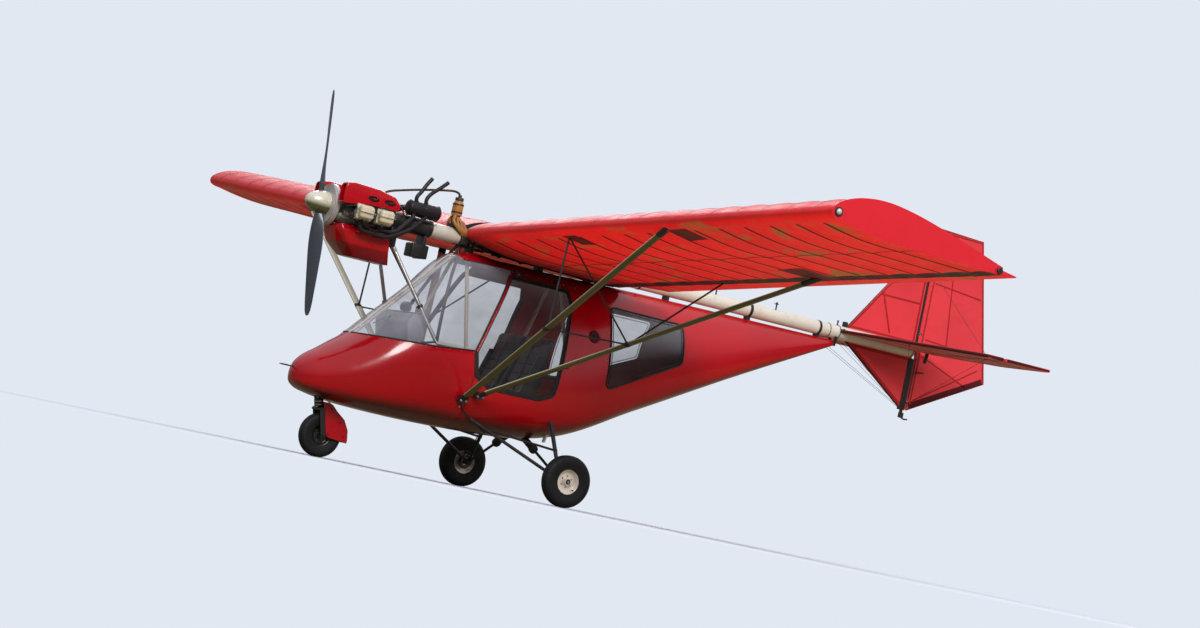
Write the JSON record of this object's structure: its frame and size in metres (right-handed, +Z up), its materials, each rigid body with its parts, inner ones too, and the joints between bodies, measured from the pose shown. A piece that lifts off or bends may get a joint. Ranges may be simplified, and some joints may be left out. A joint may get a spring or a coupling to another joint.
{
  "type": "microlight aircraft",
  "caption": "Two-seat, high-wing, strut-braced microlight aircraft with an open engine on its boom, a fabric tail and tricycle gear.",
  "frame": {"origin": "centre of the overall box at ground level", "axes": "+X forward, +Y to port along the span, +Z up"},
  "size_m": [6.581, 9.644, 2.926],
  "materials": {
    "red_fabric": "satin",
    "red_gelcoat": "gloss",
    "cream_paint": "gloss",
    "black_paint": "satin",
    "bare_alloy": "satin",
    "engine_alloy": "cast",
    "crankcase": "cast",
    "cream_cover": "satin",
    "clear_glazing": "clear",
    "tyre_rubber": "matte",
    "blade_dark": "satin",
    "hot_steel": "heat_blackened",
    "seat_cloth": "woven",
    "grey_panel": "matte",
    "amber_bottle": "gloss",
    "black_rubber": "matte"
  },
  "bodies": {
    "airframe": {"aileron_hinges": "black_paint", "air_ducts": "red_gelcoat", "boom_fittings": "black_paint", "boom_tube": "cream_paint", "breather_bottle": "amber_bottle", "breather_hose": "black_rubber", "cabin_floor": "bare_alloy", "cabin_frame": "cream_paint", "control_stick": "black_paint", "door_hinges": "black_paint", "drive_housing": "engine_alloy", "elevator_hinges": "black_paint", "engine_block": "crankcase", "engine_cylinders": "engine_alloy", "engine_mount": "black_paint", "engine_struts": "cream_paint", "exhaust_system": "hot_steel", "fins": "red_fabric", "fuselage_skin": "red_fabric", "ignition_box": "black_paint", "instrument_pod": "grey_panel", "jury_struts": "bare_alloy", "lift_struts": "bare_alloy", "lower_cowl": "red_gelcoat", "main_gear": "black_paint", "nose_cowl": "red_gelcoat", "nose_leg": "black_paint", "pitot_tube": "black_paint", "quarter_windows": "clear_glazing", "rocker_covers": "cream_cover", "roof_panel": "red_gelcoat", "seat_port": "seat_cloth", "seat_starboard": "seat_cloth", "spar_end_caps": "black_paint", "stabiliser": "red_fabric", "strut_fittings": "black_paint", "tail_post": "black_paint", "windscreen": "clear_glazing", "wing_port": "red_fabric", "wing_starboard": "red_fabric"},
    "propeller": {"spinner": "cream_paint", "propeller_hub": "bare_alloy", "propeller_blades": "blade_dark"},
    "main_wheel_port": {"main_tyre_port": "tyre_rubber", "main_rim_port": "cream_paint"},
    "main_wheel_starboard": {"main_tyre_starboard": "tyre_rubber", "main_rim_starboard": "cream_paint"},
    "nose_fork_assembly": {"nose_fork": "black_paint", "nose_mudguard": "red_gelcoat"},
    "nose_wheel": {"nose_tyre": "tyre_rubber", "nose_rim": "cream_paint"},
    "door_port": {"door_frame_port": "black_paint", "door_glazing_port": "clear_glazing"},
    "door_starboard": {"door_frame_starboard": "black_paint", "door_glazing_starboard": "clear_glazing"},
    "aileron_port_surface": {"aileron_port": "red_fabric"},
    "aileron_starboard_surface": {"aileron_starboard": "red_fabric"},
    "elevator_port_surface": {"elevator_port": "red_fabric"},
    "elevator_starboard_surface": {"elevator_starboard": "red_fabric"},
    "rudder_surface": {"rudder": "red_fabric"}
  },
  "joints": [
    {"name": "propeller_spin", "type": "hinge", "parent": "airframe", "child": "propeller", "pos_m": [3.172, 0, 1.87], "axis": [1, 0, 0], "continuous": true},
    {"name": "main_wheel_port_spin", "type": "hinge", "parent": "airframe", "child": "main_wheel_port", "pos_m": [1.067, 0.812, 0.2], "axis": [0, 1, 0], "continuous": true},
    {"name": "main_wheel_starboard_spin", "type": "hinge", "parent": "airframe", "child": "main_wheel_starboard", "pos_m": [1.067, -0.812, 0.2], "axis": [0, 1, 0], "continuous": true},
    {"name": "nose_steer", "type": "hinge", "parent": "airframe", "child": "nose_fork_assembly", "pos_m": [2.773, 0, 0.167], "axis": [0.2492, 0, 0.9684], "range_deg": [-22, 22]},
    {"name": "nose_wheel_spin", "type": "hinge", "parent": "nose_fork_assembly", "child": "nose_wheel", "pos_m": [2.773, 0, 0.167], "axis": [0, 1, 0], "continuous": true},
    {"name": "door_port_hinge", "type": "hinge", "parent": "airframe", "child": "door_port", "pos_m": [1.39, 0.348, 1.674], "axis": [1, 0, 0], "range_deg": [0, 80]},
    {"name": "door_starboard_hinge", "type": "hinge", "parent": "airframe", "child": "door_starboard", "pos_m": [1.39, -0.348, 1.674], "axis": [-1, 0, 0], "range_deg": [0, 80]},
    {"name": "aileron_port_hinge", "type": "hinge", "parent": "airframe", "child": "aileron_port_surface", "pos_m": [0.472, 0.62, 1.84716], "axis": [0, 0.9977, 0.0678], "range_deg": [-20, 20]},
    {"name": "aileron_starboard_hinge", "type": "hinge", "parent": "airframe", "child": "aileron_starboard_surface", "pos_m": [0.472, -0.62, 1.84716], "axis": [0, 0.9977, -0.0678], "range_deg": [-20, 20]},
    {"name": "elevator_port_hinge", "type": "hinge", "parent": "airframe", "child": "elevator_port_surface", "pos_m": [-2.53, 0.64, 1.884], "axis": [0, 1, 0], "range_deg": [-22, 25]},
    {"name": "elevator_starboard_hinge", "type": "hinge", "parent": "airframe", "child": "elevator_starboard_surface", "pos_m": [-2.53, -0.64, 1.884], "axis": [0, 1, 0], "range_deg": [-22, 25]},
    {"name": "rudder_hinge", "type": "hinge", "parent": "airframe", "child": "rudder_surface", "pos_m": [-2.532, 0, 1.87], "axis": [0, 0, 1], "range_deg": [-28, 28]}
  ],
  "couplings": [
    {"joint": "aileron_starboard_hinge", "follows": "aileron_port_hinge", "ratio": -1},
    {"joint": "elevator_starboard_hinge", "follows": "elevator_port_hinge", "ratio": 1}
  ]
}
